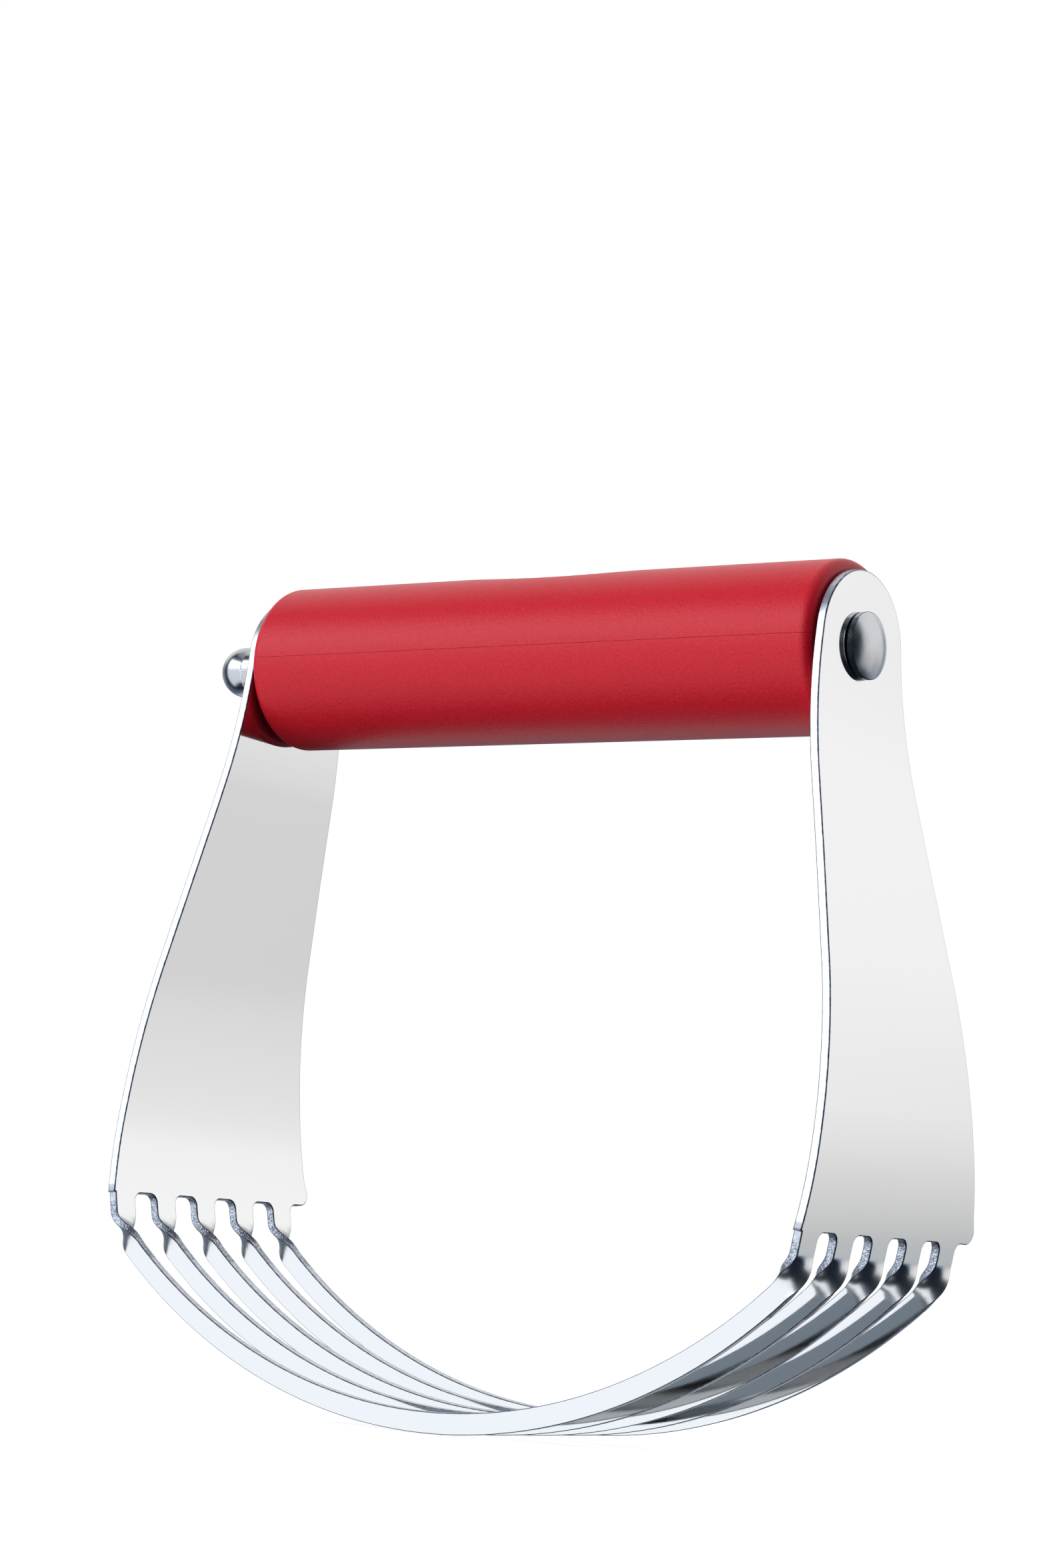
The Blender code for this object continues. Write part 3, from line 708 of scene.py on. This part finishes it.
# ---- Materials ----------------------------------------------------------------------------
class Nodes:
    """Short calls for building one node tree."""

    def __init__(self, tree):
        self.tree = tree

    def add(self, kind, inputs=(), **settings):
        node = self.tree.nodes.new(kind)
        for name, value in settings.items():
            setattr(node, name, value)
        for name, value in dict(inputs).items():
            if isinstance(value, bpy.types.NodeSocket):
                self.tree.links.new(value, node.inputs[name])
            else:
                node.inputs[name].default_value = value
        return node

    def math(self, operation, first, second=0.0, third=0.0):
        node = self.add("ShaderNodeMath", {0: first, 1: second, 2: third}, operation=operation)
        return node.outputs[0]

    def step(self, value, low, high):
        """0 at low and 1 at high, smooth between; low may be the larger one."""
        ends = {"Value": value, "From Min": min(low, high), "From Max": max(low, high)}
        ends.update({"To Min": 0.0 if low < high else 1.0, "To Max": 1.0 if low < high else 0.0})
        node = self.add("ShaderNodeMapRange", ends, interpolation_type="SMOOTHSTEP")
        return node.outputs["Result"]

    def between(self, value, low, high):
        """A value between 0 and 1 brought to the range from low to high."""
        node = self.add("ShaderNodeMapRange", {"Value": value, "To Min": low, "To Max": high})
        return node.outputs["Result"]

    def ramp(self, value, *stops):
        """A colour that changes evenly with a value, through stops of (position, colour)."""
        node = self.add("ShaderNodeValToRGB", {"Fac": value})
        elements = node.color_ramp.elements
        while len(elements) < len(stops):
            elements.new(0.5)
        for element, (position, colour) in zip(elements, stops):
            element.position = position
            element.color = (*colour, 1)
        return node.outputs["Color"]

    def place(self):
        """Coordinates fixed to the object."""
        return self.add("ShaderNodeTexCoord").outputs["Object"]

    def noise(self, place, scale, detail):
        """Cloudy noise, in patches of about 1 / scale metres."""
        inputs = {"Vector": place, "Scale": scale, "Detail": detail}
        return self.add("ShaderNodeTexNoise", inputs).outputs["Fac"]

    def bump(self, height, distance, strength=1.0):
        inputs = {"Height": height, "Distance": distance, "Strength": strength}
        return self.add("ShaderNodeBump", inputs).outputs["Normal"]


class Finish:
    """A new material, its nodes, and its shader with the constants set on it."""

    def __init__(self, name, colour, metallic, roughness):
        self.material = bpy.data.materials.new(name)
        self.material.use_nodes = True
        self.nodes = Nodes(self.material.node_tree)
        self.shader = self.material.node_tree.nodes["Principled BSDF"]
        self.shader.inputs["Base Color"].default_value = (*colour, 1.0)
        self.shader.inputs["Metallic"].default_value = metallic
        self.shader.inputs["Roughness"].default_value = roughness

    def drive(self, name, value):
        """Feeds one of the shader's inputs."""
        self.nodes.tree.links.new(value, self.shader.inputs[name])


def polished_steel():
    """Mirror finish: a faint grain in the gloss, and dents where the strips were twisted."""
    finish = Finish("polished_steel", (0.645, 0.648, 0.646), 1.0, 0.05)
    nodes, place = finish.nodes, finish.nodes.place()
    gloss = nodes.between(nodes.noise(place, 900.0, 3.0), 0.03, 0.08)
    twisted = nodes.add("ShaderNodeAttribute", attribute_name="twisted").outputs["Fac"]
    finish.drive("Roughness", nodes.math("MULTIPLY_ADD", twisted, 0.30, gloss))
    dents = nodes.noise(place, 420.0, 2.0)
    finish.drive("Normal", nodes.bump(dents, 0.08 * MM, twisted))
    return finish.material


def polished_edge():
    """A sheared edge that has been polished: bright, with short marks across the sheet."""
    finish = Finish("polished_edge", (0.70, 0.72, 0.75), 0.8, 0.32)
    marks = finish.nodes.noise(finish.nodes.place(), 1500.0, 3.0)
    worn, bright = (0.40, 0.43, 0.48), (0.56, 0.58, 0.62)
    finish.drive("Base Color", finish.nodes.ramp(marks, (0.35, worn), (0.6, bright)))
    finish.drive("Normal", finish.nodes.bump(marks, 0.01 * MM))
    return finish.material


def sheared_edge():
    """A sheared edge left as it was cut: grey and granular."""
    finish = Finish("sheared_edge", (0.30, 0.33, 0.38), 0.8, 0.42)
    cells = {"Vector": finish.nodes.place(), "Scale": 3600.0}
    grains = finish.nodes.add("ShaderNodeTexVoronoi", cells)
    torn, bright = (0.10, 0.12, 0.15), (0.62, 0.67, 0.74)
    tone = finish.nodes.ramp(grains.outputs["Color"], (0.0, torn), (1.0, bright))
    finish.drive("Base Color", tone)
    finish.drive("Normal", finish.nodes.bump(grains.outputs["Distance"], 0.08 * MM))
    return finish.material


def edge_rounding():
    """The narrow rounding along every edge, coloured near black: painted shade standing in for the
    dark reflections that a rounded polished edge shows.
    """
    finish = Finish("edge_rounding", (0.10, 0.115, 0.14), 1.0, 0.3)
    shade_mottle = finish.nodes.noise(finish.nodes.place(), 1200.0, 3.0)
    # Painted shade: both ends of this mottled ramp are far darker than steel, to paint the dark line
    # along each rounded edge.
    painted_shade_dark, painted_shade_light = (0.05, 0.06, 0.08), (0.22, 0.24, 0.28)
    finish.drive("Base Color", finish.nodes.ramp(shade_mottle, (0.35, painted_shade_dark), (0.7, painted_shade_light)))
    return finish.material


def red_plastic():
    """Moulded plastic with a fine spark-eroded grain."""
    finish = Finish("red_plastic", (0.46, 0.010, 0.020), 0.0, 0.42)
    finish.shader.inputs["Specular IOR Level"].default_value = 0.26
    grain = finish.nodes.noise(finish.nodes.place(), 2600.0, 2.0)
    deep, light = (0.52, 0.004, 0.012), (0.63, 0.008, 0.022)
    finish.drive("Base Color", finish.nodes.ramp(grain, (0.3, deep), (0.7, light)))
    finish.drive("Normal", finish.nodes.bump(grain, 0.06 * MM))
    return finish.material


def plated_steel():
    """Bright nickel plate with a little tarnish in its gloss."""
    finish = Finish("plated_steel", (0.44, 0.45, 0.46), 1.0, 0.08)
    cloud = finish.nodes.noise(finish.nodes.place(), 500.0, 4.0)
    finish.drive("Roughness", finish.nodes.between(cloud, 0.14, 0.34))
    return finish.material


def drawn_steel():
    """Plain tube with marks along its length."""
    finish = Finish("drawn_steel", (0.5, 0.5, 0.51), 1.0, 0.35)
    stretch = {"Vector": finish.nodes.place(), "Scale": (40.0, 2500.0, 2500.0)}
    stretched = finish.nodes.add("ShaderNodeMapping", stretch).outputs["Vector"]
    marks = finish.nodes.noise(stretched, 1.0, 2.0)
    finish.drive("Roughness", finish.nodes.between(marks, 0.25, 0.5))
    return finish.material


def studio_floor():
    """White paper, lit from all round so that it holds only a trace of shadow."""
    finish = Finish("floor", (0.5, 0.5, 0.5), 0.0, 0.9)
    finish.shader.inputs["Emission Color"].default_value = (1, 1, 1, 1)
    finish.shader.inputs["Emission Strength"].default_value = 0.70
    return finish.material


# ---- Camera, light and floor --------------------------------------------------------------
CAMERA_PLACE = (0.371289, -0.526980, -0.098936)  # from the middle of the handle
CAMERA_TURN = (35.64646, -6.871454, 3.685261)  # azimuth from the front, elevation, roll
LENS, SENSOR = 90.2, 36.0
FLOOR_REACH = 3.0


def add_camera():
    """A long lens at the front right, a little below the handle and tilted up."""
    data = bpy.data.cameras.new("camera")
    data.lens, data.sensor_width = LENS, SENSOR
    data.clip_start, data.clip_end = 0.01, 50
    camera = bpy.data.objects.new("camera", data)
    bpy.context.scene.collection.objects.link(camera)
    azimuth, elevation, roll = (math.radians(angle) for angle in CAMERA_TURN)
    turn = Matrix.Rotation(azimuth, 4, "Z")
    turn @= Matrix.Rotation(math.pi / 2 - elevation, 4, "X") @ Matrix.Rotation(roll, 4, "Z")
    place = Vector(CAMERA_PLACE) + Vector((MIDDLE_X, 0, AXIS_Z))
    camera.matrix_world = Matrix.Translation(place) @ turn
    bpy.context.scene.camera = camera


def add_world():
    """A dark room with white panels: a softbox at the front left, one at the right and behind
    whose strength grows with height, and a dimmer one at the back left. The ceiling is dim.
    The camera itself sees plain white."""
    world = bpy.data.worlds.new("studio")
    bpy.context.scene.world = world
    world.use_nodes = True
    tree = world.node_tree
    tree.nodes.clear()
    nodes = Nodes(tree)
    direction = nodes.add("ShaderNodeTexCoord").outputs["Generated"]
    x, y, z = nodes.add("ShaderNodeSeparateXYZ", {0: direction}).outputs
    flat = nodes.math("SQRT", nodes.math("ADD", nodes.math("MULTIPLY", x, x),
                                         nodes.math("MULTIPLY", y, y)))

    def across(azimuth, half, soft):
        """1 within half degrees of an azimuth, 0 beyond soft more; 90 degrees is the right."""
        a = math.radians(azimuth)
        along = nodes.math("ADD", nodes.math("MULTIPLY", x, math.sin(a)),
                           nodes.math("MULTIPLY", y, -math.cos(a)))
        turned_to = nodes.math("DIVIDE", along, flat)
        outer, inner = math.radians(half + soft), math.radians(half)
        return nodes.step(turned_to, math.cos(outer), math.cos(inner))

    def level(*stops):
        """A strength that changes with height: stops of (height of a unit vector, strength)."""
        low, high = stops[0][0], stops[-1][0]
        ends = {"Value": z, "From Min": low, "From Max": high}
        share = nodes.add("ShaderNodeMapRange", ends).outputs["Result"]
        span = high - low
        return nodes.ramp(share, *(((height - low) / span, (strength,) * 3)
                                   for height, strength in stops))

    def product(first, *others):
        for other in others:
            first = nodes.math("MULTIPLY", first, other)
        return first

    def brightest(first, *others):
        for other in others:
            first = nodes.math("MAXIMUM", first, other)
        return first

    # The softbox lights the blades' front faces; its top is brightest, for the handle's shine.
    softbox = product(across(-22, 40, 6), nodes.step(z, -0.82, -0.72), nodes.step(z, 0.68, 0.58),
                      level((0.1, 1.42), (0.42, 4.2)))
    # The side plates mirror the rear panel, and show how its strength grows with height.
    # The left plate looks further round to the right, where it is brighter low down.
    profile = level((-0.45, 0.64), (-0.16, 0.69), (-0.01, 0.95), (0.09, 1.16), (0.22, 1.27),
                    (0.3, 1.33))
    below = product(across(120, 20, 15), level((-0.12, 0.30), (0.0, 0.20), (0.1, 0.17),
                                               (0.3, 0.06)))
    rear = product(across(145, 24, 12), nodes.step(z, -0.42, -0.22),
                   nodes.math("ADD", profile, below))
    # The blades' backs mirror the fill panel, which their neighbours' fronts show as grey bands.
    fill = product(across(222, 40, 17), level((-0.35, 0.3), (-0.12, 0.55), (0.22, 0.55),
                                              (0.42, 1.2), (0.7, 1.1)))
    low = product(across(210, 22, 12), level((-0.42, 0.9), (-0.36, 0.0)))
    ceiling = product(nodes.step(z, 0.78, 0.90), 0.6)
    total = brightest(softbox, rear, fill, low, ceiling, 0.035)
    # Dim light is navy, the rear panels are neutral and the softbox is a little blue.
    tint = nodes.ramp(nodes.math("MULTIPLY", total, 0.7), (0.0, (0.40, 0.58, 1.0)),
                      (0.35, (0.62, 0.79, 1.0)), (0.50, (0.93, 0.97, 1.0)), (0.65, (1, 1, 1)),
                      (0.96, (1, 1, 1)), (1.0, (0.93, 0.98, 1.06)))
    room = nodes.add("ShaderNodeBackground", {"Color": tint, "Strength": total})
    plain = nodes.add("ShaderNodeBackground", {"Color": (1, 1, 1, 1), "Strength": 1.0})
    ray = nodes.add("ShaderNodeLightPath")
    mix = nodes.add("ShaderNodeMixShader", {0: ray.outputs["Is Camera Ray"],
                                            1: room.outputs[0], 2: plain.outputs[0]})
    nodes.add("ShaderNodeOutputWorld", {"Surface": mix.outputs[0]})


def add_floor(material):
    mesh = bpy.data.meshes.new("floor")
    far = FLOOR_REACH
    corners = [(-far, -far, 0), (far, -far, 0), (far, far, 0), (-far, far, 0)]
    mesh.from_pydata(corners, [], [(0, 1, 2, 3)])
    mesh.materials.append(material)
    floor = bpy.data.objects.new("floor", mesh)
    bpy.context.scene.collection.objects.link(floor)
    floor.visible_glossy = floor.visible_diffuse = False


# ---- The whole scene ----------------------------------------------------------------------
blade_frame([polished_steel(), polished_edge(), sheared_edge(), edge_rounding()])
plastic = red_plastic()
handle_shell("upper_shell", "handle_upper_shell", 1, plastic)
handle_shell("lower_shell", "handle_lower_shell", -1, plastic)
plating = plated_steel()
bolt(plating)
washer(plating)
acorn_nut(plating)
tube = frame["nodes"]["spacer_tube"]
tube.data.materials.clear()
tube.data.materials.append(drawn_steel())
add_camera()
add_world()
add_floor(studio_floor())

scene = bpy.context.scene
scene.view_settings.view_transform = "Standard"
